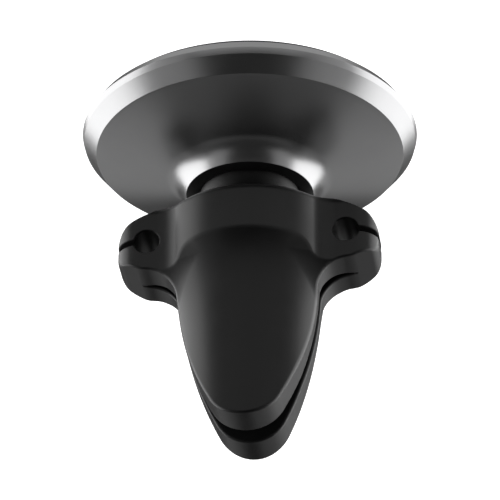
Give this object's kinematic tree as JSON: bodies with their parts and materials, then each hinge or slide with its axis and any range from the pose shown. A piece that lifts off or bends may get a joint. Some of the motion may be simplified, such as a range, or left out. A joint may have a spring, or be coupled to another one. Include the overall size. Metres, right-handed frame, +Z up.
{
  "type": "magnetic car vent phone mount",
  "caption": "Round magnetic phone holder on a ball joint, with a two-jawed rubber clip for a car air vent slat and an ear at each side that holds a cable.",
  "frame": {"origin": "root of the slat slot, in the middle of the clip", "axes": "+Y out of the slot towards the jaws' tips, so the phone's face looks along -Y; +Z up; X across the car"},
  "size_m": [0.042, 0.0448, 0.042],
  "materials": {
    "anodised_aluminium": "satin gunmetal anodising, turned",
    "silicone_pad": "matte silicone",
    "adhesive_film": "clear acrylic foam film",
    "carrier_plastic": "moulded ABS, black",
    "nickel_magnet": "nickel plate",
    "zinc_steel": "zinc-plated steel",
    "spring_steel": "blued spring steel",
    "black_nylon": "moulded nylon, black",
    "acetal": "natural acetal, smooth",
    "black_ball": "black satin plating",
    "soft_touch_black": "soft-touch rubber, black, satin"
  },
  "bodies": {
    "clip": {"ball_stud": "black_ball", "spring_saddle": "spring_steel", "saddle_rivets": "zinc_steel", "stud_nut": "zinc_steel", "clip_core": "black_nylon", "clip_collar": "soft_touch_black"},
    "liner": {"friction_ring": "acetal"},
    "socket": {"socket_cup": "acetal"},
    "head": {"head_shell": "anodised_aluminium", "face_pad": "silicone_pad", "pad_adhesive": "adhesive_film", "magnet_carrier": "carrier_plastic", "magnet_1": "nickel_magnet", "magnet_2": "nickel_magnet", "magnet_3": "nickel_magnet", "magnet_4": "nickel_magnet", "magnet_5": "nickel_magnet", "magnet_6": "nickel_magnet", "yoke_plate": "zinc_steel", "carrier_screws": "zinc_steel", "wave_spring": "spring_steel", "ball_collet": "black_nylon"},
    "upper_jaw": {"upper_spring_leaf": "spring_steel", "upper_jaw_grip": "soft_touch_black"},
    "lower_jaw": {"lower_spring_leaf": "spring_steel", "lower_jaw_grip": "soft_touch_black"}
  },
  "joints": [
    {"name": "tilt", "type": "hinge", "parent": "clip", "child": "liner", "pos_m": [0, -0.0114, 0], "axis": [1, 0, 0], "range_deg": [-15, 15]},
    {"name": "swivel", "type": "hinge", "parent": "liner", "child": "socket", "pos_m": [0, -0.0114, 0], "axis": [0, 0, 1], "range_deg": [-15, 15]},
    {"name": "spin", "type": "hinge", "parent": "socket", "child": "head", "pos_m": [0, -0.0114, 0], "axis": [0, 1, 0], "continuous": true},
    {"name": "upper_flex", "type": "hinge", "parent": "clip", "child": "upper_jaw", "pos_m": [0, 0.00035, 0.0059], "axis": [1, 0, 0], "range_deg": [0, 4], "stiffness_Nm_per_rad": 0.8},
    {"name": "lower_flex", "type": "hinge", "parent": "clip", "child": "lower_jaw", "pos_m": [0, 0.00035, -0.0059], "axis": [-1, 0, 0], "range_deg": [0, 4], "stiffness_Nm_per_rad": 0.8}
  ]
}
